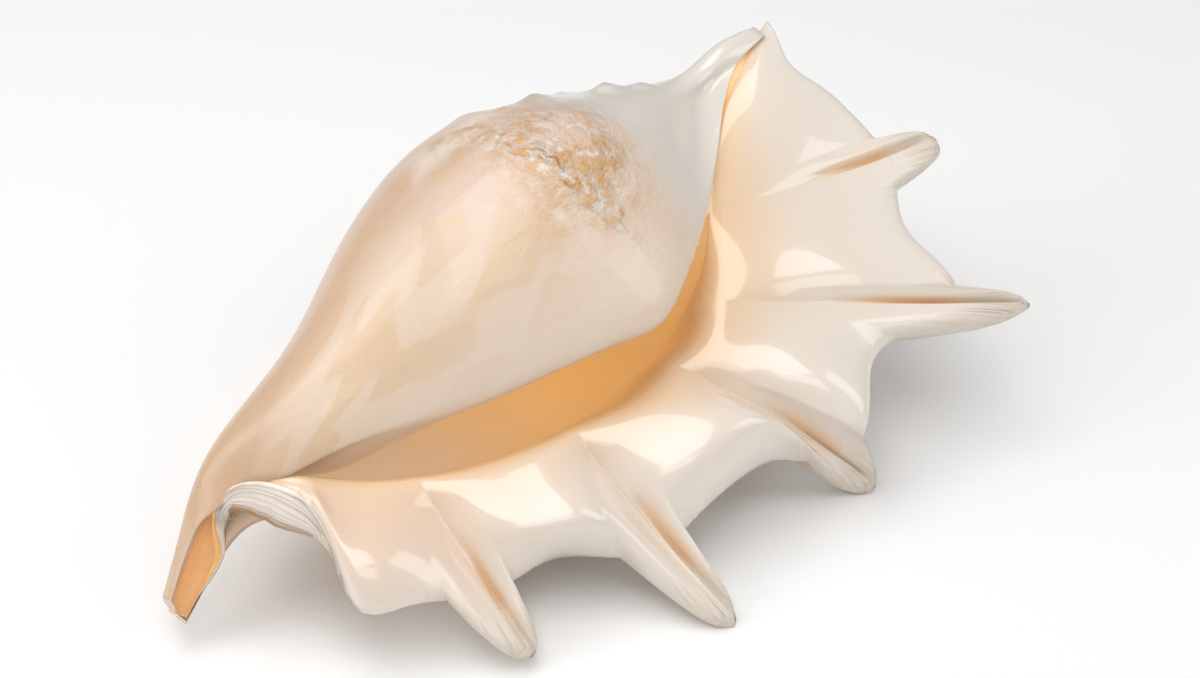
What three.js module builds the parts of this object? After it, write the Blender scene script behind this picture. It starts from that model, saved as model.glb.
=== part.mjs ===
// A large spider conch shell, lying on its back with the aperture up. Millimetres.
// The wall is one closed skin. It is drawn through a net of lines that run from the tip of the
// siphonal canal to the tip of the first finger, in the shell's growth frame:
// x towards the flared lip, y dorsal, z towards the spire. Stations 0 to 15 count along the lines.
import * as THREE from 'three';

const alongCount = 92;        // rows of facets from canal tip to first finger
const aroundCount = 49;       // facets round a section, about
const wallThickness = 7;      // outer wall of the body whorl
const coreShare = 0.42;       // radius of the inner whorl, as a share of the outer one
const deepestTurn = 205;      // degrees that the hollow winds round the inner whorl
const restUp = [-0.285, -0.933, 0.219]; // upwards, in growth axes, when the shell lies still
const restFlat = 1.2;         // depth worn flat where crown and finger touch the ground

// Lines along the shell: [station, x, y, z]
const marginLine = [[0, -6, 27, -135], [0.5, -7, 21, -127], [1, -7, 14, -118], [2, -13, 6, -112],
  [2.5, -17, 0, -107], [2.8, -15, -5, -101], [3, -10, -8, -97], [3.3, 2, -8, -92],
  [3.6, 17, -4, -93], [4, 40, 3, -103], [4.5, 52, 4, -91], [5, 63, 10, -69], [6, 72, 21, -40],
  [7, 93, 14, -19], [7.5, 95, 18, 2], [8, 99, 22, 30], [8.6, 110, 19, 42], [9, 118, 12, 51],
  [10, 111, 8, 73], [10.6, 104, 8, 92], [11, 109, 4, 111], [12, 87, 1, 125], [13, 62, 0, 141],
  [14, 27, -5, 148], [14.6, 10, -8, 148], [14.8, 3, -9, 152], [15, -3, -9, 154]];
const throatLine = [[0, -7, 26, -135], [1, -9, 15, -119], [2, -14, 7, -113], [2.5, -16, 2, -107],
  [3, -9, -5, -93], [4, 7, -4, -77], [5, 26, -2, -58], [6, 40, 0, -35], [7, 51, 0, -10],
  [8, 58, 2, 13], [9, 58, 2, 31], [10, 58, 1, 44], [11, 53, -1, 57], [12, 45, -4, 70],
  [13, 34, -7, 83], [14, 16, -10, 105], [14.6, 6, -10, 126], [15, -1, -10, 147]];
const innerLipLine = [[0, -12, 26, -137], [1, -16, 15, -124], [2, -19, 7, -113],
  [2.5, -20, 2, -104], [3, -15, -2, -93], [4, 0, -8, -71], [5, 16, -12, -47], [6, 28, -15, -26],
  [7, 38, -17, -4], [8, 45, -18, 13], [9, 51, -18, 27], [10, 51, -18, 38], [11, 47, -18, 49],
  [12, 41, -17, 62], [13, 31, -15, 79], [14, 16, -13, 103], [14.6, 4, -11, 124],
  [15, -3, -10, 146]];
// Thickness of the margin, and how far its back edge stands out past the front edge: [station, mm]
const edgeThickness = [[0, 2.5], [1, 2.5], [2, 3.5], [2.5, 5], [3, 5.5], [3.8, 5.5], [4.4, 5],
  [6, 6], [13, 6], [14, 4.5], [15, 2.5]];
const bevel = [[0, 0], [1.2, 0], [2, 3], [2.5, 6], [3, 8.5], [3.3, 12], [3.6, 13], [3.85, 8],
  [4.15, 0], [15, 0]];

// The body whorl: a centre line and radii at seven angles from the lip over the back, by height z
const bodyHeights = [-139, -120, -100, -80, -50, -20, 10, 40, 70, 95, 115, 132, 146];
const centreX = [-8, -14, -16, -12, -8, -5, -3, -2, -2, -3, -3, -2, -1];
const centreY = [25, 15, 7, 4, 5, 7, 8, 9, 7, 3, -3, -7, -9];
const bodyRadii = [
  [50, [5, 7, 10, 23, 40, 52, 58, 60, 52, 36, 20, 11, 4]],
  [90, [7, 9, 14, 24, 38, 51, 60, 63, 52, 32, 15, 9, 4]],
  [135, [6, 10, 16, 25, 37, 53, 64, 66, 54, 31, 12, 8, 4]],
  [180, [6, 9.5, 16, 24, 33, 47, 57, 57, 42.5, 25, 10, 8.3, 4]],
  [225, [6, 9, 16, 23, 33, 47, 57, 57.5, 43, 25, 10, 8, 4]],
  [270, [4, 7, 12.5, 20, 32, 48, 58, 60, 47, 26, 9, 6, 3]],
  [310, [4, 6.5, 10, 17, 30, 45, 54, 56, 43, 24, 8, 5, 3]]];
// Low knobs on the back: [angle, height z, height, width]
const knobs = [[88, 12, 5, 15], [128, 30, 5, 12], [168, 42, 4, 10], [60, 40, 4, 12], [205, 50, 2.5, 8]];

// Fingers on the margin: [station, reach, half width in stations, depth of the keel behind]
const fingers = [[5, [26, 7, -5], 0.26, 6], [6.95, [37, 9, 0], 0.34, 10], [8.97, [10, 27, 7], 0.3, 9],
  [10.92, [22, 5, 25], 0.3, 11], [12.97, [7, 0, 21], 0.28, 6]];
// Rounded pillows of the lip between them: [first station, last station, height]
const pillows = [[3.2, 5, 9], [5, 7, 20], [7, 9, 20], [9, 11, 8], [11, 13, 4], [13, 15, 4]];
// Depth of the open gutter where the hollow runs out, by station
const gutterDepth = [[0, 3], [1, 7], [2, 7], [3, 5], [4, 9], [13, 4], [15, 1.5]];

const add = (a, b, k = 1) => a.map((v, i) => v + k * b[i]);
const mix = (a, b, t) => a.map((v, i) => v + (b[i] - v) * t);
const dot = (a, b) => a[0] * b[0] + a[1] * b[1] + a[2] * b[2];
const cross = (a, b) => [a[1] * b[2] - a[2] * b[1], a[2] * b[0] - a[0] * b[2],
  a[0] * b[1] - a[1] * b[0]];
const length = (a) => Math.sqrt(dot(a, a));
const unit = (a) => a.map((v) => v / (length(a) + 1e-9));
const clamp01 = (v) => Math.min(1, Math.max(0, v));
const easeStep = (a, b, v) => { const t = clamp01((v - a) / (b - a)); return t * t * (3 - 2 * t); };

// straight-line table lookup
function lookUp(xs, ys, x) {
  let i = 0;
  while (i < xs.length - 2 && x > xs[i + 1]) i++;
  return ys[i] + (ys[i + 1] - ys[i]) * clamp01((x - xs[i]) / (xs[i + 1] - xs[i]));
}

// the same, from a list of pairs
const lookUpPairs = (pairs, x) => lookUp(pairs.map((p) => p[0]), pairs.map((p) => p[1]), x);

// solves a small set of linear equations by elimination, each right-hand side a list
function solve(matrix, right) {
  const n = matrix.length;
  const a = matrix.map((row, i) => [...row, ...right[i]]);
  for (let c = 0; c < n; c++) {
    let p = c;
    for (let r = c + 1; r < n; r++) if (Math.abs(a[r][c]) > Math.abs(a[p][c])) p = r;
    [a[c], a[p]] = [a[p], a[c]];
    for (let r = 0; r < n; r++) {
      if (r === c || a[r][c] === 0) continue;
      const f = a[r][c] / a[c][c];
      for (let k = c; k < a[r].length; k++) a[r][k] -= f * a[c][k];
    }
  }
  return a.map((row, i) => row.slice(n).map((v) => v / row[i]));
}

// cubic curve through points, each a list of numbers: natural at its ends, or closed
function cubicThrough(knots, points, closed = false) {
  const n = closed ? knots.length - 1 : knots.length;
  const gap = (i) => knots[i + 1] - knots[i];
  const rows = [], right = [];
  for (let i = 0; i < n; i++) {
    const row = new Array(n).fill(0);
    if (!closed && (i === 0 || i === n - 1)) {
      row[i] = 1;
      rows.push(row);
      right.push(points[i].map(() => 0));
      continue;
    }
    const before = (i + n - 1) % n, after = (i + 1) % n;
    const gb = gap(before), ga = gap(i);
    row[before] += gb;
    row[i] += 2 * (gb + ga);
    row[after] += ga;
    rows.push(row);
    right.push(points[i].map((v, d) =>
      6 * ((points[after][d] - v) / ga - (v - points[before][d]) / gb)));
  }
  const bend = solve(rows, right);
  return (x) => {
    let i = 0;
    const last = closed ? n - 1 : n - 2;
    while (i < last && x >= knots[i + 1]) i++;
    const j = (i + 1) % n, h = gap(i), t = x - knots[i], s = h - t;
    return points[i].map((v, d) => (bend[i][d] * s ** 3 + bend[j][d] * t ** 3) / (6 * h)
      + (v / h - bend[i][d] * h / 6) * s + (points[j][d] / h - bend[j][d] * h / 6) * t);
  };
}

const lineThrough = (table) => cubicThrough(table.map((r) => r[0]), table.map((r) => r.slice(1)));
const byHeight = (values) => {
  const curve = cubicThrough(bodyHeights, values.map((v) => [v]));
  return (z) => curve(z)[0];
};

const marginAt = lineThrough(marginLine);
const throatAt = lineThrough(throatLine);
const innerLipAt = lineThrough(innerLipLine);
const centreXAt = byHeight(centreX);
const centreYAt = byHeight(centreY);
const radiiAt = bodyRadii.map(([, values]) => byHeight(values));

// shares of the way from throat to margin where the lines of the lip run
const faceShares = [0.25, 0.55, 0.85];
const backShares = [0.85, 0.55, 0.28];

// The net's points round the shell at one station, from the margin over the back, down the left
// flank, up the underside to the inner lip, round the hollow, and out along the lip's face.
// Each has its share of the way to the margin, which is 0 off the lip, and its share of knobs.
function section(station) {
  const margin = marginAt(station), throat = throatAt(station), innerLip = innerLipAt(station);
  const z = (throat[2] + innerLip[2]) / 2;
  const centre = [centreXAt(z), centreYAt(z), z];
  const radii = radiiAt.map((r) => r(z));
  const ring = (degrees, radius) => add(centre,
    [Math.cos(degrees * Math.PI / 180), Math.sin(degrees * Math.PI / 180), 0], radius);
  const dorsal = [0, 1, 0];
  const reach = add(margin, throat, -1);
  const wide = easeStep(4, 22, length(reach));
  const tangent = add(marginAt(station + 0.02), marginAt(station - 0.02), -1);
  // outwards along the lip, turning square to the margin where the lip is narrow
  const run = add(reach, unit(cross(dorsal, tangent)), 10 * (1 - wide));
  const outwards = unit(run);
  const across = unit(cross(cross(outwards, dorsal), outwards));
  const edge = lookUpPairs(edgeThickness, station);
  const jut = lookUpPairs(bevel, station);
  let keel = 0;
  for (const [at, , half, depth] of fingers) {
    keel += depth * Math.exp(-(((station - at) / (1.5 * half)) ** 2));
  }

  // the lip: a plate from throat to margin, its face lifted into pillows
  let lift = 0;
  for (const [first, last, height] of pillows) {
    const t = (station - (first + last) / 2) / ((last - first) / 2);
    if (Math.abs(t) < 1) lift += height * (1 - t * t) * wide;
  }
  const face = (share) => add(add(throat, reach, share), across,
    -lift * 2.12 * share * (1 - share ** 3));
  // the way through the lip, square to the slope of its face
  const through = (share) => {
    const slope = add(run, across, -lift * 2.12 * (1 - 4 * share ** 3));
    return unit(add(mix([0, 0, 0], across, dot(slope, outwards)), outwards, -dot(slope, across)));
  };
  const back = (share) => add(add(add(face(share), through(share), edge * (1.5 - 0.6 * share)),
    across, keel * easeStep(0.1, 0.8, share)), outwards, jut * share * share);
  const onwards = unit(add(run, across, lift * 6.36));
  const rim = add(margin, onwards, -Math.min(0.35 * edge, 0.25 * length(reach)));
  const lipEnd = add(add(mix([0, 0, 0], through(1), edge), across, 0.3 * keel), outwards, jut);
  const points = [[add(margin, lipEnd, 0.5), 1, 0], [add(rim, lipEnd, 0.95), 0.98, 0]];
  for (const s of backShares) points.push([back(s), s, s < 0.5 ? 0.5 : 0]);

  // the body whorl; along the canal its outside turns back, so that the gutter lies open
  const canal = 1 - easeStep(1.6, 3.4, station);
  bodyRadii.forEach(([degrees], i) => {
    const swing = canal * (15 + 0.45 * Math.max(0, degrees - 190));
    points.push([ring(degrees - swing, radii[i]), 0, 1]);
  });
  points.push([innerLip, 0, 0.3]);

  // the hollow: winds round the inner whorl, and flattens to an open gutter at both ends
  const deep = easeStep(2.5, 4.8, station) * (1 - easeStep(10.2, 13.2, station));
  const outer = (degrees) => lookUp([0, 50, 90, 135, 180, 225],
    [radii[0], ...radii.slice(0, 5)], degrees);
  const wall = Math.min(wallThickness, 0.25 * (radii[0] + radii[1]) / 2);
  const depth = lookUpPairs(gutterDepth, station);
  const gutter = (u) => add(mix(innerLip, throat, u), dorsal, depth * (1 - (2 * u - 1) ** 4));
  const core = (degrees) => ring(degrees, outer(degrees) * coreShare * (1 - 0.0006 * degrees));
  [[0, 0.06], [50, 0.16], [105, 0.28], [160, 0.40]].forEach(([degrees, u]) =>
    points.push([mix(gutter(u), core(degrees), deep), 0, 0]));
  const turn = (outer(deepestTurn) * (1 + 0.9 * coreShare) - wall) / 2;
  points.push([mix(gutter(0.5), ring(deepestTurn, turn), deep), 0, 0]);
  [[160, 0.6], [105, 0.74], [50, 0.88]].forEach(([degrees, u]) =>
    points.push([mix(gutter(u), ring(degrees, outer(degrees) - wall), deep), 0, 0]));

  points.push([throat, 0, 0]);
  for (const s of faceShares) points.push([face(s), s, 0]);
  points.push([add(rim, lipEnd, 0.05), 0.98, 0]);
  return { points, centre };
}

// stations of the rows, closer together beside each finger
function rowStations() {
  const steps = 3000, stations = [0], reached = [0];
  for (let i = 1; i <= steps; i++) {
    const s = 15 * i / steps;
    let density = 1;
    for (const [at, , half] of fingers) density += 4 * Math.exp(-(((s - at) / (1.3 * half)) ** 2));
    stations.push(s);
    reached.push(reached[i - 1] + density);
  }
  return Array.from({ length: alongCount }, (_, i) =>
    lookUp(reached, stations, reached[steps] * i / (alongCount - 1)));
}

// how far a point of the skin moves for the fingers: a flat-topped reach across each finger,
// with a low skirt beside it, growing towards the margin
function fingerShift(station, share) {
  let shift = [0, 0, 0];
  for (const [at, reach, half] of fingers) {
    const t = Math.abs(station - at) / half;
    const finger = t < 1 ? 1 - t ** 3.2 : 0;
    const skirt = 0.12 * Math.exp(-((t / 1.8) ** 2));
    shift = add(shift, reach, (finger + skirt * (1 - finger)) * share ** 3.2);
  }
  return shift;
}

// how far a point moves outwards for the knobs: round bells over the distance along the skin
function knobShift(point, centre, outside) {
  const radial = unit([point[0] - centre[0], point[1] - centre[1], 0]);
  const angle = Math.atan2(radial[1], radial[0]) * 180 / Math.PI;
  let rise = 0;
  for (const [degrees, z, height, width] of knobs) {
    const turn = (((angle - degrees + 180) % 360) + 360) % 360 - 180;
    const away = (turn * Math.PI / 180 * 60) ** 2 + (point[2] - z) ** 2;
    rise += height * Math.exp(-away / width ** 2) * outside;
  }
  return add(point, radial, rise);
}

// rows of points, one row for each station
function skinRows() {
  const stations = rowStations();
  const sections = stations.map(section);
  const nets = sections.map((s) => s.points);
  const count = nets[0].length;
  const spans = Array.from({ length: count }, (_, i) => {
    const mean = nets.reduce((sum, net) =>
      sum + length(add(net[(i + 1) % count][0], net[i][0], -1)), 0) / nets.length;
    return Math.max(mean, 2) ** 0.8;
  });
  const knots = [0];
  spans.forEach((s) => knots.push(knots[knots.length - 1] + s));
  const weights = spans.map((s) => s ** 0.6);
  const total = weights.reduce((a, b) => a + b, 0);
  const places = [];
  weights.forEach((w, i) => {
    const cells = Math.max(1, Math.round(aroundCount * w / total));
    for (let c = 0; c < cells; c++) places.push(knots[i] + spans[i] * c / cells);
  });
  return nets.map((net, r) => {
    const curve = cubicThrough(knots, net.map((p) => p[0]), true);
    const shares = [...net.map((p) => p[1]), net[0][1]];
    const outside = [...net.map((p) => p[2]), net[0][2]];
    return places.map((q) => knobShift(
      add(curve(q), fingerShift(stations[r], lookUp(knots, shares, q))),
      sections[r].centre, lookUp(knots, outside, q)));
  });
}

// turns the rows to the resting position, stands them on z = 0 and centres them on z
function layDown(rows) {
  const up = unit(restUp);
  const ahead = unit(add([0, 0, 1], up, -up[2]));
  const across = cross(up, ahead);
  const turned = rows.map((row) => row.map((p) => [dot(p, ahead), dot(p, across), dot(p, up)]));
  const box = new THREE.Box3();
  turned.flat().forEach((p) => box.expandByPoint(new THREE.Vector3(...p)));
  const middle = box.getCenter(new THREE.Vector3());
  return turned.map((row) => row.map((p) =>
    [p[0] - middle.x, p[1] - middle.y, Math.max(0, p[2] - box.min.z - restFlat)]));
}

// joins the rows into a closed mesh, with a point in the middle of each end
function closedSkin(rows) {
  const around = rows[0].length;
  const positions = rows.flat(2);
  const faces = [];
  const at = (row, i) => row * around + (i % around);
  for (let r = 0; r < rows.length - 1; r++) {
    for (let i = 0; i < around; i++) {
      faces.push(at(r, i), at(r, i + 1), at(r + 1, i + 1), at(r, i), at(r + 1, i + 1), at(r + 1, i));
    }
  }
  for (const [row, flip] of [[0, false], [rows.length - 1, true]]) {
    const middle = rows[row].reduce((a, p) => add(a, p), [0, 0, 0]).map((v) => v / around);
    const centre = positions.length / 3;
    positions.push(...middle);
    for (let i = 0; i < around; i++) {
      const [a, b] = flip ? [at(row, i), at(row, i + 1)] : [at(row, i + 1), at(row, i)];
      faces.push(a, b, centre);
    }
  }
  const geometry = new THREE.BufferGeometry();
  geometry.setAttribute('position', new THREE.Float32BufferAttribute(positions, 3));
  geometry.setIndex(faces);
  geometry.computeVertexNormals();
  return geometry;
}

const shellFinish = new THREE.MeshStandardMaterial({
  color: 0xf1ddc6, roughness: 0.3, metalness: 0, name: 'shell' });
const shell = new THREE.Mesh(closedSkin(layDown(skinRows())), shellFinish);
shell.name = 'conch_shell';

const object = new THREE.Group();
object.name = 'conch';
object.add(shell);
export default object;
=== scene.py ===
import bpy
import numpy as np
from mathutils import Matrix, Vector


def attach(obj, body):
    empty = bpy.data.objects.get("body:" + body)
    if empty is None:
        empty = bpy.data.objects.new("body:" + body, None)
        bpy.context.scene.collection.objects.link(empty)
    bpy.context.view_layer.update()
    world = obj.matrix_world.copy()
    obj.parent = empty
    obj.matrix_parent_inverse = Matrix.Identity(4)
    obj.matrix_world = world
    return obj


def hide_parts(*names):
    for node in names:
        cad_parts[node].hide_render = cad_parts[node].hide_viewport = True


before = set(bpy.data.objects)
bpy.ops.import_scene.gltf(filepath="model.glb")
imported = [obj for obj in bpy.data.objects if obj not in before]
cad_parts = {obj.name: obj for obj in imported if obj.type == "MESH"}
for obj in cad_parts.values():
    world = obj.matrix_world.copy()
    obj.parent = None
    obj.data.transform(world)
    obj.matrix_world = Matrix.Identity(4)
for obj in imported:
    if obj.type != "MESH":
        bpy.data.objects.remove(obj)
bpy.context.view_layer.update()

# A large spider conch shell on its back. It is drawn in the axes it grew along, in millimetres:
# x to the flared lip, y to the back, z to the spire. Stations 0 to 15 run from the tip of the
# siphonal canal to the tip of the first finger. It is then turned to the way it lies.

growth = {
    "alongCount": 470,        # rows of the grid, canal tip to first finger
    "aroundCount": 200,       # points round a section, about
    "wallThickness": 7.0,
    "coreShare": 0.42,        # inner whorl's radius, as a share of the outer
    "deepestTurn": 205.0,     # degrees the hollow winds
    "restUp": (-0.285, -0.933, 0.219),    # upwards, as the shell lies
    "restFlat": 1.2,          # worn flat on the ground
    "fingerPower": 3.2,       # how late a finger leaves the face, and how flat its top is
    "skirt": 0.12,            # low swelling beside a finger, as a share of it
    "slitDepth": 4.5,
    "slitWidth": 0.035,       # in stations
    "frayDepth": 0.55,
    "pillowScale": 2.12,      # makes the peak of s - s^4 one
}

# lines of the net: station, x, y, z
marginLine = [
    (0, -6, 27, -135), (0.5, -7, 21, -127), (1, -7, 14, -118), (2, -13, 6, -112), (2.5, -17, 0, -107),
    (2.8, -15, -5, -101), (3, -10, -8, -97), (3.3, 2, -8, -92), (3.6, 17, -4, -93), (4, 40, 3, -103),
    (4.5, 52, 4, -91), (5, 63, 10, -69), (6, 72, 21, -40), (7, 93, 14, -19), (7.5, 95, 18, 2),
    (8, 99, 22, 30), (8.6, 110, 19, 42), (9, 118, 12, 51), (10, 111, 8, 73), (10.6, 104, 8, 92),
    (11, 109, 4, 111), (12, 87, 1, 125), (13, 62, 0, 141), (14, 27, -5, 148), (14.6, 10, -8, 148),
    (14.8, 3, -9, 152), (15, -3, -9, 154)]
throatLine = [
    (0, -7, 26, -135), (1, -9, 15, -119), (2, -14, 7, -113), (2.5, -16, 2, -107), (3, -9, -5, -93),
    (4, 7, -4, -77), (5, 26, -2, -58), (6, 40, 0, -35), (7, 51, 0, -10), (8, 58, 2, 13),
    (9, 58, 2, 31), (10, 58, 1, 44), (11, 53, -1, 57), (12, 45, -4, 70), (13, 34, -7, 83),
    (14, 16, -10, 105), (14.6, 6, -10, 126), (15, -1, -10, 147)]
innerLipLine = [
    (0, -12, 26, -137), (1, -16, 15, -124), (2, -19, 7, -113), (2.5, -20, 2, -104),
    (3, -15, -2, -93), (4, 0, -8, -71), (5, 16, -12, -47), (6, 28, -15, -26), (7, 38, -17, -4),
    (8, 45, -18, 13), (9, 51, -18, 27), (10, 51, -18, 38), (11, 47, -18, 49), (12, 41, -17, 62),
    (13, 31, -15, 79), (14, 16, -13, 103), (14.6, 4, -11, 124), (15, -3, -10, 146)]
# thickness of the margin: stations, then the value at each
edgeThickness = ((0, 1, 2, 2.5, 3, 3.8, 4.4, 6, 13, 14, 15),
                 (2.5, 2.5, 3.5, 5, 5.5, 5.5, 5, 6, 6, 4.5, 2.5))
# how far the margin's back edge stands out past its front edge, round the notch, in the same way
bevel = ((0, 1.2, 2, 2.5, 3, 3.3, 3.6, 3.85, 4.15, 15), (0, 0, 3, 6, 8.5, 12, 13, 8, 0, 0))

# the body whorl, by height z: centre line, and radii at angles from the lip over the back
bodyHeights = (-139, -120, -100, -80, -50, -20, 10, 40, 70, 95, 115, 132, 146)
centreX = (-8, -14, -16, -12, -8, -5, -3, -2, -2, -3, -3, -2, -1)
centreY = (25, 15, 7, 4, 5, 7, 8, 9, 7, 3, -3, -7, -9)
bodyRadii = {
    50: (5, 7, 10, 23, 40, 52, 58, 60, 52, 36, 20, 11, 4),
    90: (7, 9, 14, 24, 38, 51, 60, 63, 52, 32, 15, 9, 4),
    135: (6, 10, 16, 25, 37, 53, 64, 66, 54, 31, 12, 8, 4),
    180: (6, 9.5, 16, 24, 33, 47, 57, 57, 42.5, 25, 10, 8.3, 4),
    225: (6, 9, 16, 23, 33, 47, 57, 57.5, 43, 25, 10, 8, 4),
    270: (4, 7, 12.5, 20, 32, 48, 58, 60, 47, 26, 9, 6, 3),
    310: (4, 6.5, 10, 17, 30, 45, 54, 56, 43, 24, 8, 5, 3)}

# fingers: station, reach, half width in stations, depth of the keel behind, place of the slit
fingers = [
    (5, (26, 7, -5), 0.26, 6, 0.05), (6.95, (37, 9, 0), 0.34, 10, 0.13), (8.97, (10, 27, 7), 0.3, 9, 0.1),
    (10.92, (22, 5, 25), 0.3, 11, 0.1), (12.97, (7, 0, 21), 0.28, 6, 0.08)]
# the lip's face bulges between the fingers: first station, last station, height
pillows = [(3.2, 5, 9), (5, 7, 20), (7, 9, 20), (9, 11, 8), (11, 13, 4), (13, 15, 4)]
# depth of the gutter where there is no hollow, in the same way
gutterDepth = ((0, 1, 2, 3, 4, 13, 15), (3, 7, 7, 5, 9, 4, 1.5))
# knobs of the back: angle, height z, height, width
knobs = [(88, 12, 5, 15), (128, 30, 5, 12), (168, 42, 4, 10), (60, 40, 4, 12), (205, 50, 2.5, 8)]
# small worn bumps of the shoulder, in the same way
crags = [(229, 18, 1.3, 5), (231, 30, 1.6, 4), (232, 41, 1.4, 4), (231, 52, 1.2, 3), (229, 64, 2.8, 5),
         (226, 75, 1.2, 3), (240, 86, 3.2, 5), (243, 97, 2.4, 4), (262, 37, 1.4, 4), (271, 35, 1.2, 4),
         (281, 37, 1.5, 4), (291, 40, 1.4, 4), (274, 52, 1.0, 5), (258, 60, 1.0, 5), (285, 63, -0.8, 6)]


def easeStep(low, high, x):
    # smooth step: 3t^2 - 2t^3 of the clamped share t of the way from low to high
    t = np.clip((x - low) / (high - low), 0, 1)
    return t * t * (3 - 2 * t)


def unit(a):
    # vectors over their own lengths
    return a / (np.linalg.norm(a, axis=-1, keepdims=True) + 1e-9)


def cubicThrough(knots, points):
    # natural cubic spline: second derivatives from the tridiagonal system, then the usual blend
    x, y = np.asarray(knots, float), np.asarray(points, float)
    n, h = len(x), np.diff(x)
    system = np.eye(n)
    inner = np.arange(1, n - 1)
    system[inner, inner - 1] = h[:-1]
    system[inner, inner] = 2 * (h[:-1] + h[1:])
    system[inner, inner + 1] = h[1:]
    slope = np.diff(y, axis=0) / h.reshape((-1,) + (1,) * (y.ndim - 1))
    right = np.zeros_like(y)
    right[1:-1] = 6 * np.diff(slope, axis=0)
    bend = np.linalg.solve(system, right)

    def at(q):
        q = np.asarray(q, float)
        i = np.clip(np.searchsorted(x, q, side="right") - 1, 0, n - 2)
        shape = q.shape + (1,) * (y.ndim - 1)
        t, g = (q - x[i]).reshape(shape), h[i].reshape(shape)
        s = g - t
        return ((bend[i] * s**3 + bend[i + 1] * t**3) / (6 * g)
                + (y[i] / g - bend[i] * g / 6) * s + (y[i + 1] / g - bend[i + 1] * g / 6) * t)
    return at


def closedCubic(knots, lines, q):
    # closed cubic spline through the lines, which are (count, rows, 3), at the places q
    x = np.asarray(knots, float)
    n, h = len(x) - 1, np.diff(x)
    i = np.arange(n)
    before, after = h[i - 1], h
    left, right = np.zeros((n, n)), np.zeros((n, n))
    left[i, i - 1] += before
    left[i, i] += 2 * (before + after)
    left[i, (i + 1) % n] += after
    right[i, (i + 1) % n] += 6 / after
    right[i, i] -= 6 / after + 6 / before
    right[i, i - 1] += 6 / before
    bend = np.tensordot(np.linalg.solve(left, right), lines, 1)
    a = np.clip(np.searchsorted(x, q, side="right") - 1, 0, n - 1)
    b = (a + 1) % n
    t, g = (q - x[a])[:, None, None], h[a][:, None, None]
    s = g - t
    return ((bend[a] * s**3 + bend[b] * t**3) / (6 * g)
            + (lines[a] / g - bend[a] * g / 6) * s + (lines[b] / g - bend[b] * g / 6) * t)


def splineOf(table):
    # cubic spline of a table's points x, y, z over the stations in its first column
    return cubicThrough([row[0] for row in table], [row[1:] for row in table])


def rowStations():
    # stations spread by the sum of a constant and a bell beside each finger
    fine = np.linspace(0, 15, 6001)
    density = 1 + sum(4 * np.exp(-((fine - at) / (1.3 * half))**2) for at, _, half, _, _ in fingers)
    reached = np.r_[0, np.cumsum((density[1:] + density[:-1]) / 2)]
    return np.interp(np.linspace(0, reached[-1], growth["alongCount"]), reached, fine)


def pillowLift(station):
    # height * (1 - t^2) between two fingers, with t from -1 at one to 1 at the other
    lift = np.zeros_like(station)
    for first, last, height in pillows:
        t = (station - (first + last) / 2) / ((last - first) / 2)
        lift += np.where(np.abs(t) < 1, height * (1 - t * t), 0)
    return lift


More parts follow.
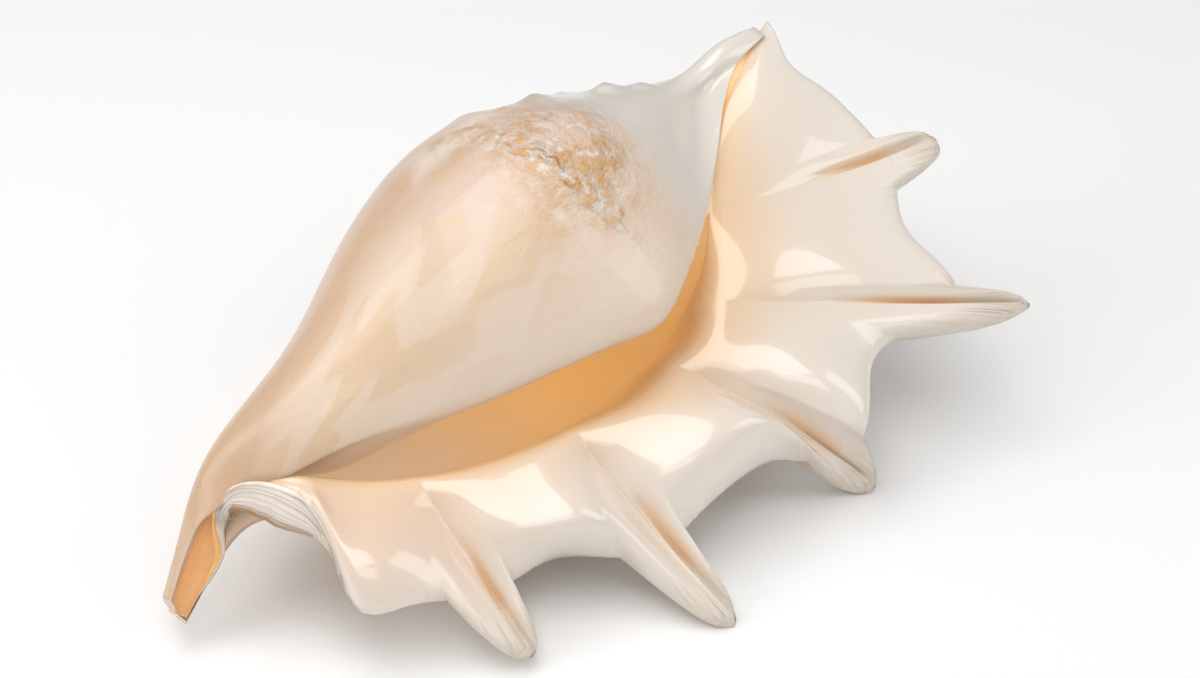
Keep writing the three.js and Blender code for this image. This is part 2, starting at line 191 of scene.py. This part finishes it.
def sectionNet(station):
    # the net's lines, (count, rows, 3), with each one's share of the way to the margin and side
    margin, throat = splineOf(marginLine)(station), splineOf(throatLine)(station)
    innerLip = splineOf(innerLipLine)(station)
    z = (throat[:, 2] + innerLip[:, 2]) / 2
    centre = np.stack([cubicThrough(bodyHeights, centreX)(z),
                       cubicThrough(bodyHeights, centreY)(z), z], -1)
    radii = {a: cubicThrough(bodyHeights, r)(z) for a, r in bodyRadii.items()}

    def ring(degrees, radius):
        # a point at an angle and a radius from the centre line, in the plane of z
        a = np.radians(degrees + 0 * radius)
        return centre + radius[:, None] * np.stack([np.cos(a), np.sin(a), 0 * a], -1)

    # along the canal the outside turns back, so that the gutter lies open
    canal = 1 - easeStep(1.6, 3.4, station)
    dorsal = np.array([0.0, 1, 0])
    reach = margin - throat
    width = np.linalg.norm(reach, axis=1)
    wide = easeStep(4, 22, width)
    sideways = unit(np.cross(dorsal, np.gradient(margin, axis=0)))
    run = reach + (1 - wide)[:, None] * 10 * sideways
    outwards = unit(run)
    across = unit(np.cross(np.cross(outwards, dorsal), outwards))
    edge = np.interp(station, *edgeThickness)[:, None]
    jut = outwards * np.interp(station, *bevel)[:, None]
    keel = sum(depth * np.exp(-((station - at) / (1.5 * half))**2)
               for at, _, half, depth, _ in fingers)[:, None]
    bulge = across * (pillowLift(station) * wide)[:, None] * growth["pillowScale"]

    def face(share):
        # straight from throat to margin, less a bulge of s - s^4 for the share s of the way
        return throat + reach * share - bulge * share * (1 - share**3)

    def through(share):
        # the way through the lip, square to the face's own slope
        slope = run - bulge * (1 - 4 * share**3)
        return unit(across * np.sum(slope * outwards, 1, keepdims=True)
                    - outwards * np.sum(slope * across, 1, keepdims=True))

    def back(share):
        # the face moved through the lip by the thickness, with the keels and the notch's bevel
        return (face(share) + through(share) * edge * (1.5 - 0.6 * share)
                + across * keel * easeStep(0.1, 0.8, share) + jut * share**2)

    inwards = through(1.0)
    onwards = unit(run + bulge * 3)
    rim = margin - onwards * np.minimum(0.35 * edge, 0.25 * width[:, None])
    lipEnd = inwards * edge + across * 0.3 * keel + jut
    lines = [(margin + lipEnd / 2, 1, 0), (rim + lipEnd * 0.95, 0.98, 1)]
    lines += [(back(s), s, 1) for s in (0.85, 0.55, 0.28)]
    lines += [(ring(a - canal * (15 + 0.45 * max(0, a - 190)), r), 0, 1) for a, r in radii.items()]
    lines += [(innerLip, 0, 0)]

    deep = (easeStep(2.5, 4.8, station) * (1 - easeStep(10.2, 13.2, station)))[:, None]
    angles = np.array((0, 50, 90, 135, 180, 225))
    table = np.stack([radii[max(a, 50)] for a in angles])

    def outer(degrees):
        # outer radius at an angle, straight between the table's
        i = np.clip(np.searchsorted(angles, degrees) - 1, 0, 4)
        low, high = angles[[i, i + 1]]
        t = (degrees - low) / (high - low)
        return table[i] * (1 - t) + table[i + 1] * t

    wall = np.minimum(growth["wallThickness"], 0.25 * (radii[50] + radii[90]) / 2)
    depth = np.interp(station, *gutterDepth)[:, None]

    def gutter(u):
        # from the inner lip to the throat, sunk by 1 - (2u - 1)^4
        return innerLip + (throat - innerLip) * u + dorsal * depth * (1 - (2 * u - 1)**4)

    def blend(u, wound):
        # the gutter along the canal and spire, the wound hollow between
        return gutter(u) * (1 - deep) + wound * deep

    core = growth["coreShare"]
    for a, u in ((0, 0.06), (50, 0.16), (105, 0.28), (160, 0.4)):
        lines += [(blend(u, ring(a, outer(a) * core * (1 - 0.0006 * a))), 0, -1)]
    turn = growth["deepestTurn"]
    lines += [(blend(0.5, ring(turn, (outer(turn) * (1 + 0.9 * core) - wall) / 2)), 0, -1)]
    for a, u in ((160, 0.6), (105, 0.74), (50, 0.88)):
        lines += [(blend(u, ring(a, outer(a) - wall)), 0, -1)]
    lines += [(throat, 0, -1)]
    lines += [(face(s), s, -1) for s in (0.25, 0.55, 0.85)]
    lines += [(rim + lipEnd * 0.05, 0.98, -1)]
    return (np.stack([p for p, _, _ in lines]), [s for _, s, _ in lines],
            [s for _, _, s in lines], across, centre)


def skinGrid():
    # the whole skin as a grid (around, along, 3) in growth axes, with each row's share, side and
    # hollow values: a closed spline through the net's lines at each station, then fingers and knobs
    station = rowStations()
    lines, shares, sides, across, centre = sectionNet(station)
    span = np.linalg.norm(np.roll(lines, -1, 0) - lines, axis=2).mean(1)
    span = np.maximum(span, 2)**0.8
    knots = np.r_[0, np.cumsum(span)]
    cells = np.maximum(1, np.round(growth["aroundCount"] * span**0.6 / np.sum(span**0.6)))
    order = np.r_[0, np.cumsum(cells)]
    places = np.interp(np.arange(int(order[-1])), order, knots)
    skin = closedCubic(knots, lines, places)
    share = np.interp(places, knots, shares + shares[:1])
    side = np.interp(places, knots, sides + sides[:1])
    # the body whorl's outside, 1 from the lip's root to the inner lip
    outside = np.interp(places, knots, [0] * 4 + [0.5] + [1] * len(bodyRadii) + [0.3]
                        + [0] * (len(shares) - 5 - len(bodyRadii)))
    # the hollow, 0 at its mouth to 1 at its end
    hollow = np.interp(places, knots, [0] * (6 + len(bodyRadii)) + [0.3, 0.6, 0.9, 1, 1, 1, 0.8, 0.45]
                       + [0] * 6)
    onFace = (side < 0) & (share > 0)
    for at, reach, half, _, slitAt in fingers:
        # flat-topped finger, with a low skirt beside it, growing towards the margin
        t = np.abs(station - at) / half
        finger = 1 - np.minimum(t, 1)**growth["fingerPower"]
        skirt = growth["skirt"] * np.exp(-(t / 1.8)**2)
        skin += ((share**growth["fingerPower"])[:, None, None] * np.array(reach, float)
                 * (finger + skirt * (1 - finger))[None, :, None])
        # slit along its face: a narrow bell, deepest near the root of the finger
        cut = np.exp(-((station - at - slitAt) / growth["slitWidth"])**2)
        along = (growth["slitDepth"] * easeStep(0.45, 0.85, share)
                 * (1 - 0.6 * easeStep(0.93, 1, share)))
        skin += np.where(onFace, along, 0)[:, None, None] * cut[None, :, None] * across[None]
    # frayed margin: a sum of sines along it, on the notch's back edge and the fingers' ends
    fray = sum(np.sin(station * turns + start) / less
               for turns, start, less in ((61, 0, 1.6), (97, 2, 1.5), (151, 4, 2), (233, 1, 2.5)))
    raw = easeStep(1.7, 2.3, station) * (1 - easeStep(3.9, 4.1, station)) + 0.7 * sum(
        np.exp(-((station - at) / 0.2)**2) for at, *_ in fingers)
    edgeBand = np.exp(-((places - places[np.argmax(side >= 0.95)]) / 3.5)**2)
    skin += growth["frayDepth"] * (fray * raw)[None, :, None] * edgeBand[:, None, None] * across[None]
    radial = unit((skin - centre[None]) * np.array([1, 1, 0]))
    angle = np.degrees(np.arctan2(radial[..., 1], radial[..., 0])) % 360
    for degrees, z, height, width in knobs + crags:
        # round knobs: bells over the distance along the skin
        turn = (angle - degrees + 180) % 360 - 180
        away = (np.radians(turn) * 60)**2 + (skin[..., 2] - z)**2
        skin += (height * np.exp(-away / width**2) * outside[:, None])[..., None] * radial
    return skin, station, share, side, hollow


def restTurn():
    # rows are the ground frame's axes in growth axes: along the shell, across it, upwards
    up = unit(np.array(growth["restUp"]))
    ahead = unit(np.array([0, 0, 1.0]) - up * up[2])
    return np.stack([ahead, np.cross(up, ahead), up])


def layDown(points):
    # turned to rest, centred on the frame's box, lowest point just below the ground
    turned = points @ restTurn().T
    low, high = turned.reshape(-1, 3).min(0), turned.reshape(-1, 3).max(0)
    shift = np.array([-(low[0] + high[0]) / 2, -(low[1] + high[1]) / 2, -low[2] - growth["restFlat"]])
    return turned + shift, shift


def closedMesh(name, grid, attributes):
    # joins the grid into a closed mesh: quads between rows, a fan at each end, in metres; the
    # attributes go on the points, a number or a vector each
    around, along, _ = grid.shape
    index = np.arange(around * along).reshape(around, along)
    a, b = index[:, :-1], np.roll(index, -1, 0)[:, :-1]
    c, d = np.roll(index, -1, 0)[:, 1:], index[:, 1:]
    quads = np.stack([a, b, c, d], -1).reshape(-1, 4)
    ends = grid[:, [0, -1]].mean(0)
    points = np.vstack([grid.reshape(-1, 3), ends]) * 0.001
    total = around * along
    i, j = index[:, 0], np.roll(index[:, 0], -1)
    m, n = index[:, -1], np.roll(index[:, -1], -1)
    fans = [np.stack([j, i, np.full(around, total)], -1),
            np.stack([m, n, np.full(around, total + 1)], -1)]
    mesh = bpy.data.meshes.new(name)
    mesh.from_pydata(points.tolist(), [], quads.tolist() + np.vstack(fans).tolist())
    mesh.update()
    mesh.polygons.foreach_set("use_smooth", np.ones(len(mesh.polygons), bool))
    for key, values in attributes.items():
        flat = np.asarray(values, np.float32)
        if flat.ndim == 3:
            flat = np.vstack([flat.reshape(-1, 3), flat[:, [0, -1]].mean(0)])
            mesh.attributes.new(key, "FLOAT_VECTOR", "POINT").data.foreach_set(
                "vector", np.ascontiguousarray(flat, np.float32).ravel())
        else:
            flat = np.r_[flat.ravel(), flat[:, 0].mean(), flat[:, -1].mean()]
            mesh.attributes.new(key, "FLOAT", "POINT").data.foreach_set(
                "value", flat.astype(np.float32))
    piece = bpy.data.objects.new(name, mesh)
    bpy.context.collection.objects.link(piece)
    return piece


skin, station, share, side, hollow = skinGrid()
laid, shift = layDown(skin)
laid[..., 2] = np.maximum(laid[..., 2], 0)
print("skin", skin.shape)
wide = skin.shape[:2]
shell = closedMesh("shell", laid, {
    "grown": skin,
    "share": np.broadcast_to(share[:, None], wide),
    "side": np.broadcast_to(side[:, None], wide),
    "hollow": np.broadcast_to(hollow[:, None], wide),
    "station": np.broadcast_to(station[None], wide)})
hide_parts("conch_shell")
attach(shell, "root")


class Wire:
    # a socket of a material's nodes, with arithmetic

    def __init__(self, tree, socket=None):
        self.tree, self.socket = tree, socket

    def node(self, kind, settings, inputs, output=0):
        # any node: its settings, then its sockets by name or number, from values or wires
        made = self.tree.nodes.new(kind)
        for key, value in settings.items():
            setattr(made, key, value)
        for key, value in inputs.items():
            if isinstance(value, Wire):
                self.tree.links.new(value.socket, made.inputs[key])
            else:
                made.inputs[key].default_value = value
        return Wire(self.tree, made.outputs[output])

    def calc(self, operation, *others):
        return self.node("ShaderNodeMath", {"operation": operation}, dict(enumerate((self,) + others)))

    def __add__(self, other):
        return self.calc("ADD", other)

    def __sub__(self, other):
        return self.calc("SUBTRACT", other)

    def __mul__(self, other):
        return self.calc("MULTIPLY", other)

    def __truediv__(self, other):
        return self.calc("DIVIDE", other)

    def __rsub__(self, other):
        return self.calc("MULTIPLY", -1).calc("ADD", other)

    __radd__, __rmul__ = __add__, __mul__

    def most(self, other):
        return self.calc("MAXIMUM", other)

    def least(self, other):
        return self.calc("MINIMUM", other)

    def ease(self, low, high):
        # smooth step from 0 at low to 1 at high
        return self.node("ShaderNodeMapRange", {"interpolation_type": "SMOOTHSTEP"},
                         {0: self, 1: low, 2: high})

    def bell(self, middle, width):
        # exp(-((x - middle) / width)^2)
        away = (self - middle) / width
        return (away * away * -1).calc("EXPONENT")

    def tint(self, under, over):
        # the colour under, passing to the colour over as this goes from 0 to 1
        return self.node("ShaderNodeMix", {"data_type": "RGBA"}, {0: self, 6: under, 7: over}, 2)

    def noise(self, scale, detail, roughness=0.5):
        # fractal noise over this vector, about 0.5
        return self.node("ShaderNodeTexNoise", {}, {
            "Vector": self, "Scale": scale, "Detail": detail, "Roughness": roughness})


def stack(x, y, z):
    # a vector from three wires or numbers, the first of them a wire
    return x.node("ShaderNodeCombineXYZ", {}, {0: x, 1: y, 2: z})


looks = {
    "cream": (0.80, 0.685, 0.575, 1),       # face of the lip
    "milk": (0.83, 0.76, 0.68, 1),          # palest parts of the lip
    "peach": (0.83, 0.60, 0.44, 1),         # lip by the canal
    "honey": (0.87, 0.60, 0.35, 1),         # throat
    "amber": (0.84, 0.47, 0.18, 1),         # creases
    "cavity": (0.86, 0.79, 0.72, 1),        # front of the hollow
    "ember": (0.93, 0.765, 0.49, 1),        # rest of the hollow
    "paintedGlowFront": (0.12, 0.09, 0.06, 1),       # painted glow: emission that brightens the front of the hollow
    "paintedGlowDeep": (0.19, 0.115, 0.045, 1),    # painted glow: emission that brightens the rest of the hollow
    "canal": (0.88, 0.46, 0.13, 1),         # inside of the canal's tip
    "beige": (0.74, 0.54, 0.365, 1),        # body whorl
    "pale": (0.80, 0.66, 0.545, 1),         # its patches
    "lilac": (0.72, 0.555, 0.475, 1),       # its pinkish top
    "tan": (0.60, 0.385, 0.235, 1),         # its flank, and the mottling
    "rust": (0.70, 0.36, 0.12, 1),          # flecks of the worn patch
    "callus": (0.76, 0.715, 0.65, 1),       # glaze by the spire
    "fibre": (0.76, 0.68, 0.58, 1),         # brown: real stains on the fingers, and painted shade under the notch
    "stainAndShade": (0.52, 0.29, 0.12, 1),         # brown under the notch and on the fingers
    "wornAt": (46, -1.6),                   # worn patch: height z, and angle in radians
    "wornSize": (19, 0.46),                 # its width along z, and in radians
    "polish": 0.2,                          # roughness of the glossy parts
    "coatRoughness": 0.03,
    "bumpDepth": 0.001,                     # metres for one step of relief
}

material = bpy.data.materials.new("shell")
material.use_nodes = True
tree = material.node_tree
bsdf = tree.nodes["Principled BSDF"]
tool = Wire(tree)


def grownValue(name, output=2):
    # an attribute of the mesh: output 2 is a number, output 1 a vector
    return tool.node("ShaderNodeAttribute", {"attribute_name": name}, {}, output)


place = grownValue("grown", 1)
parts = tree.nodes.new("ShaderNodeSeparateXYZ")
tree.links.new(place.socket, parts.inputs[0])
px, py, pz = (Wire(tree, out) for out in parts.outputs)
shareOf, sideOf, hollowOf, stationOf = (grownValue(n) for n in ("share", "side", "hollow", "station"))
# angle about the middle of the body whorl, in radians, 0 towards the lip, -pi / 2 underneath
angle = (py - 8).calc("ARCTAN2", px + 3)
# the same, folded so that it has no seam on the far side
around = angle.least(0) - angle.most(0)

fine = place.noise(0.09, 2, 0.6)
broad = place.noise(0.022, 1)

# where each kind of surface lies
within = hollowOf.ease(0.02, 0.6)
onLip = shareOf.ease(0.0, 0.06)
front = sideOf.ease(-0.6, -0.9)
faceMask = onLip * front
rearMask = shareOf.ease(0.03, 0.25) * sideOf.ease(0.2, 0.8)
notchMask = stationOf.ease(2.0, 2.3) * stationOf.ease(4.15, 3.95)
rimMask = sideOf.ease(-0.97, -0.8) * shareOf.ease(0.9, 0.96) * notchMask
canalMask = stationOf.ease(3.1, 2.3) * front
crease = sum(stationOf.bell(at + slitAt * 1.1, 0.065 if at > 6 else 0.04) for at, *_, slitAt in fingers)
tips = sum(stationOf.bell(at, 0.36) for at, *_ in fingers)
tips = tips.least(1) * (shareOf.ease(0.8, 0.95)
                        + shareOf.ease(0.9, 0.96) * sideOf.ease(-0.95, -0.6)).least(1)

# face of the lip: amber at the throat and in the creases, peach by the canal, milky outwards
lipColour = (shareOf.ease(0.2, 1.0) * 0.8).tint(looks["cream"], looks["milk"])
lipColour = (stationOf.ease(6.3, 4.2) * shareOf.ease(1.2, 0.4) * 0.8).tint(lipColour, looks["peach"])
lipColour = (shareOf.ease(0.46, -0.05) * (0.5 + stationOf.ease(6, 9) * 0.45)).tint(
    lipColour, looks["honey"])
lipColour = (crease * shareOf.ease(0.42, 0.7) * shareOf.ease(0.92, 0.78) * 0.6).tint(
    lipColour, looks["amber"])

# body whorl: streaked patches along it, pinkish on top, tan on the flank, pale at the shoulder
zones = stack(around * 2.6, broad * 1.5, pz * 0.018).noise(1.6, 1, 0.3)
bodyColour = (zones.ease(0.47, 0.53) * 0.55).tint(looks["beige"], looks["pale"])
bodyColour = (angle.ease(-1.4, -0.9) * 0.7).tint(bodyColour, looks["pale"])
bodyColour = (pz.ease(-30, 10) * angle.ease(-1.35, -1.75) * fine.ease(0.3, 0.6) * 0.75).tint(
    bodyColour, looks["lilac"])
flank = around.ease(-1.9, -2.35) * (zones * 0.5 + 0.6) + pz.bell(-95, 22) * 0.35
flank = flank + pz.bell(22, 24) * angle.bell(-2.15, 0.3) * broad.ease(0.4, 0.6)
bodyColour = (flank.least(1) * 0.8).tint(bodyColour, looks["tan"])
shoulder = pz.bell(32, 26) * angle.bell(-2.22, 0.13) * fine.ease(0.35, 0.6)
bodyColour = (shoulder * 0.8).tint(bodyColour, looks["milk"])
(wornZ, wornAngle), (wornLong, wornWide) = looks["wornAt"], looks["wornSize"]
worn = (pz.bell(wornZ, wornLong) * angle.bell(wornAngle, wornWide) * 1.25).least(1)
speck = place.noise(0.2, 4, 0.72)
crust = place.noise(0.06, 2, 0.6)
bodyColour = (worn * crust.ease(0.4, 0.55) * 0.55).tint(bodyColour, looks["tan"])
bodyColour = (worn * speck.ease(0.5, 0.6) * crust.ease(0.4, 0.5)).tint(bodyColour, looks["rust"])
bodyColour = (worn * speck.ease(0.47, 0.36) * 0.9).tint(bodyColour, looks["milk"])
# a pale ridge of old cracks runs across it
rift = ((pz - wornZ + 10 + (fine - 0.5) * 22 - (angle - wornAngle) * 7).bell(0, 2.2)
        * angle.bell(wornAngle, 0.55))
bodyColour = rift.tint(bodyColour, speck.ease(0.42, 0.6).tint(looks["milk"], looks["rust"]))
bodyColour = (pz.ease(56, 78) * 0.9).tint(bodyColour, looks["callus"])

# the far side, mottled in bands
mottle = stack(angle * 1.2, pz * 0.05, fine).noise(2.2, 2, 0.6)
backMask = angle.ease(0.0, 0.5) * angle.ease(3.1, 2.3)
bodyColour = (backMask * mottle.ease(0.45, 0.62) * 0.6).tint(bodyColour, looks["tan"])

# fine lines along the raw edges
fibres = stack(stationOf * 26, shareOf * 2.5, sideOf * 3).noise(1.0, 2, 0.6)
fibreColour = (fibres.ease(0.5, 0.68) * 0.45).tint(looks["fibre"], looks["tan"])
fibreColour = (broad.ease(0.55, 0.68) * 0.4).tint(fibreColour, looks["stainAndShade"])
edgeLines = stack(sideOf * 9, stationOf * 0.8, shareOf * 60).noise(1.0, 2, 0.65)
rimColour = (edgeLines.ease(0.45, 0.7) * 0.5).tint(looks["milk"], looks["tan"])

colour = onLip.tint(bodyColour, lipColour)
colour = rearMask.tint(colour, fibreColour)
colour = (front * (1 - onLip)).tint(colour, looks["honey"])
depths = pz.ease(-45, 30)
colour = within.tint(colour, depths.tint(looks["cavity"], looks["ember"]))
colour = rimMask.tint(colour, rimColour)
# painted shade under the notch: the back of the lip there is tinted dark brown, partly its own brown and
# partly painted shade
colour = (stationOf.ease(3.9, 3.0) * rearMask * 0.8).tint(colour, looks["stainAndShade"])
colour = (canalMask * 0.9).tint(colour, looks["canal"])
colour = (tips * 0.8).tint(colour, fibreColour)
tree.links.new(colour.socket, bsdf.inputs["Base Color"])

# raw parts are matt, and the outside of the body whorl is duller than the glazed lip
raw = (rearMask + rimMask + tips).least(1)
chalk = (1 - faceMask) * (1 - within) * pz.ease(75, 50)
roughness = looks["polish"] + raw * 0.5 + chalk * 0.16 + worn * (1 - faceMask) * 0.2
tree.links.new(roughness.socket, bsdf.inputs["Roughness"])
coat = (1 - raw) * (1 - chalk * 0.6)
tree.links.new(coat.socket, bsdf.inputs["Coat Weight"])
# painted glow: emission inside the hollow, which lights it beyond what the lamps give
paintedGlow = within.tint((0, 0, 0, 1), depths.tint(looks["paintedGlowFront"], looks["paintedGlowDeep"]))
tree.links.new(paintedGlow.socket, bsdf.inputs["Emission Color"])
bsdf.inputs["Emission Strength"].default_value = 1.0
bsdf.inputs["Coat Roughness"].default_value = looks["coatRoughness"]

# relief: fibres and lines on raw parts, grain on the body whorl, crust on the worn patch
height = (fibres * 1.4 * raw * (1 - rimMask) + edgeLines * 1.5 * rimMask
          + (1 - faceMask) * (1 - within) * (1 - raw) * speck * chalk * 0.3
          + (1 - faceMask) * (worn * (speck * 2.2 + crust * 4) + rift * 1.5))
bump = tool.node("ShaderNodeBump", {}, {
    "Strength": 1.0, "Distance": looks["bumpDepth"], "Height": height})
tree.links.new(bump.socket, bsdf.inputs["Normal"])
shell.data.materials.append(material)
print("material")

studio = {
    "cameraWay": (0.30015, -0.87044, -0.3902),   # from the shell to the camera, in growth axes
    "cameraUp": (-0.58382, -0.49112, 0.64649),
    "lookAt": (33.87, 1.76, 22.13),              # in growth axes, millimetres
    "distance": 1.0,                             # metres
    "lens": 90,
    "floorColour": (0.94, 0.94, 0.94, 1),
    "floorHalf": 30,                             # half the floor's side, metres
    "world": 0.36,                               # strength of the light from all round
    # softboxes: name, sideways, upwards, towards the camera, distance, width, height, watts
    "boxes": [("top", -0.15, 1.0, 0.1, 1.1, 1.3, 0.7, 7.5),
              ("left", -1.0, 0.45, 0.25, 1.2, 0.6, 1.0, 4.0),
              ("right", 1.0, 0.5, 0.35, 1.3, 0.5, 1.0, 2.8),
              ("front", 0.1, 0.25, 1.0, 1.6, 1.0, 0.5, 2.6)],
}

scene = bpy.context.scene
scene.view_settings.view_transform = "Standard"
floorMesh = bpy.data.meshes.new("floor")
half = studio["floorHalf"]
corners = [(-half, -half, 0), (half, -half, 0), (half, half, 0), (-half, half, 0)]
floorMesh.from_pydata(corners, [], [(0, 1, 2, 3)])
floor = bpy.data.objects.new("floor", floorMesh)
bpy.context.collection.objects.link(floor)
floorMaterial = bpy.data.materials.new("floor")
floorMaterial.use_nodes = True
floorBsdf = floorMaterial.node_tree.nodes["Principled BSDF"]
floorBsdf.inputs["Base Color"].default_value = studio["floorColour"]
floorBsdf.inputs["Roughness"].default_value = 0.6
floorMesh.materials.append(floorMaterial)

way, up = unit(np.array(studio["cameraWay"])), unit(np.array(studio["cameraUp"]))
turn = restTurn()
target = (turn @ np.array(studio["lookAt"]) + shift) * 0.001
back, upright = turn @ way, turn @ up
right = np.cross(upright, back)
cameraData = bpy.data.cameras.new("camera")
cameraData.lens = studio["lens"]
cameraData.sensor_width = 36
cameraData.clip_end = 100
camera = bpy.data.objects.new("camera", cameraData)
bpy.context.collection.objects.link(camera)
stand = np.eye(4)
stand[:3, 0], stand[:3, 1], stand[:3, 2] = right, upright, back
stand[:3, 3] = target + back * studio["distance"]
camera.matrix_world = Matrix(stand.tolist())
scene.camera = camera
print("camera, elevation", np.degrees(np.arcsin(back[2])))


def softBox(name, way, distance, wide, tall, power):
    # a rectangular softbox that faces the shell, at a distance along a way from it
    data = bpy.data.lights.new(name, "AREA")
    data.shape, data.size, data.size_y, data.energy = "RECTANGLE", wide, tall, power
    light = bpy.data.objects.new(name, data)
    bpy.context.collection.objects.link(light)
    way = Vector(way).normalized()
    light.location = Vector(target.tolist()) + way * distance
    light.rotation_euler = way.to_track_quat("Z", "Y").to_euler()


world = bpy.data.worlds.new("studio")
world.use_nodes = True
world.node_tree.nodes["Background"].inputs["Color"].default_value = (1, 1, 1, 1)
world.node_tree.nodes["Background"].inputs["Strength"].default_value = studio["world"]
scene.world = world
viewSide, toCamera, skywards = Vector(right.tolist()), Vector(back.tolist()), Vector((0, 0, 1))
for name, aside, upward, toward, distance, across, tall, power in studio["boxes"]:
    way = viewSide * aside + skywards * upward + toCamera * toward
    softBox(name, way, distance, across, tall, power)
print("studio")
